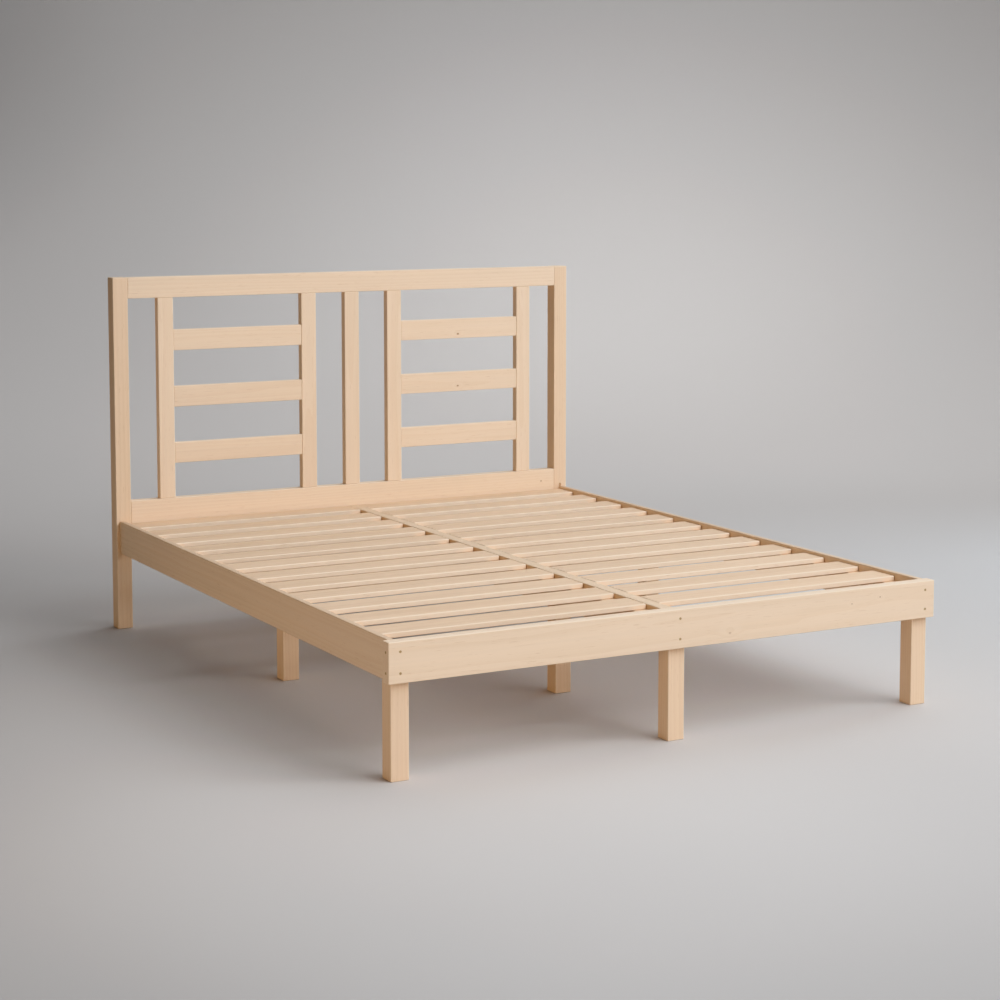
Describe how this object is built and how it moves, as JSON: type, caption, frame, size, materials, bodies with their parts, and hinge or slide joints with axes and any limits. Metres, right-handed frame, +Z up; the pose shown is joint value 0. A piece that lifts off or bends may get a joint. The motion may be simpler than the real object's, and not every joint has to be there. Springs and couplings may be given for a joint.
{
  "type": "bed frame",
  "caption": "Pine double bed frame with an open slatted headboard, level side and foot rails, a centre beam, wooden slats and square legs.",
  "frame": {"origin": "on the floor under the middle of the frame's outer box", "axes": "+Z up, +Y from the foot to the headboard, +X to the right seen from the foot"},
  "size_m": [1.682, 2.084, 1.14],
  "materials": {
    "planed_pine": "pale pine, planed smooth, clear satin lacquer",
    "slat_pine": "pale pine, planed, with small knots",
    "zinc_plated_steel": "bright zinc plate"
  },
  "bodies": {
    "root": {"head_post_left": "planed_pine", "head_post_right": "planed_pine", "head_top_rail": "planed_pine", "head_lower_rail": "planed_pine", "head_stile_outer_left": "planed_pine", "head_stile_inner_left": "planed_pine", "head_stile_centre": "planed_pine", "head_stile_inner_right": "planed_pine", "head_stile_outer_right": "planed_pine", "head_slat_left_1": "planed_pine", "head_slat_left_2": "planed_pine", "head_slat_left_3": "planed_pine", "head_slat_right_1": "planed_pine", "head_slat_right_2": "planed_pine", "head_slat_right_3": "planed_pine", "foot_rail": "planed_pine", "side_rail_left": "planed_pine", "side_rail_right": "planed_pine", "centre_beam": "planed_pine", "foot_leg_left": "planed_pine", "foot_leg_right": "planed_pine", "foot_leg_centre": "planed_pine", "support_leg_left": "planed_pine", "support_leg_right": "planed_pine", "support_leg_centre": "planed_pine", "bed_slat_left_01": "slat_pine", "bed_slat_left_02": "slat_pine", "bed_slat_left_03": "slat_pine", "bed_slat_left_04": "slat_pine", "bed_slat_left_05": "slat_pine", "bed_slat_left_06": "slat_pine", "bed_slat_left_07": "slat_pine", "bed_slat_left_08": "slat_pine", "bed_slat_left_09": "slat_pine", "bed_slat_left_10": "slat_pine", "bed_slat_left_11": "slat_pine", "bed_slat_left_12": "slat_pine", "bed_slat_right_01": "slat_pine", "bed_slat_right_02": "slat_pine", "bed_slat_right_03": "slat_pine", "bed_slat_right_04": "slat_pine", "bed_slat_right_05": "slat_pine", "bed_slat_right_06": "slat_pine", "bed_slat_right_07": "slat_pine", "bed_slat_right_08": "slat_pine", "bed_slat_right_09": "slat_pine", "bed_slat_right_10": "slat_pine", "bed_slat_right_11": "slat_pine", "bed_slat_right_12": "slat_pine", "cross_bearer": "slat_pine", "side_ledger_left": "slat_pine", "side_ledger_right": "slat_pine", "beam_ledger_left": "slat_pine", "beam_ledger_right": "slat_pine", "bed_bolt_left": "zinc_plated_steel", "bed_bolt_right": "zinc_plated_steel", "barrel_nut_left": "zinc_plated_steel", "barrel_nut_right": "zinc_plated_steel"}
  },
  "joints": []
}
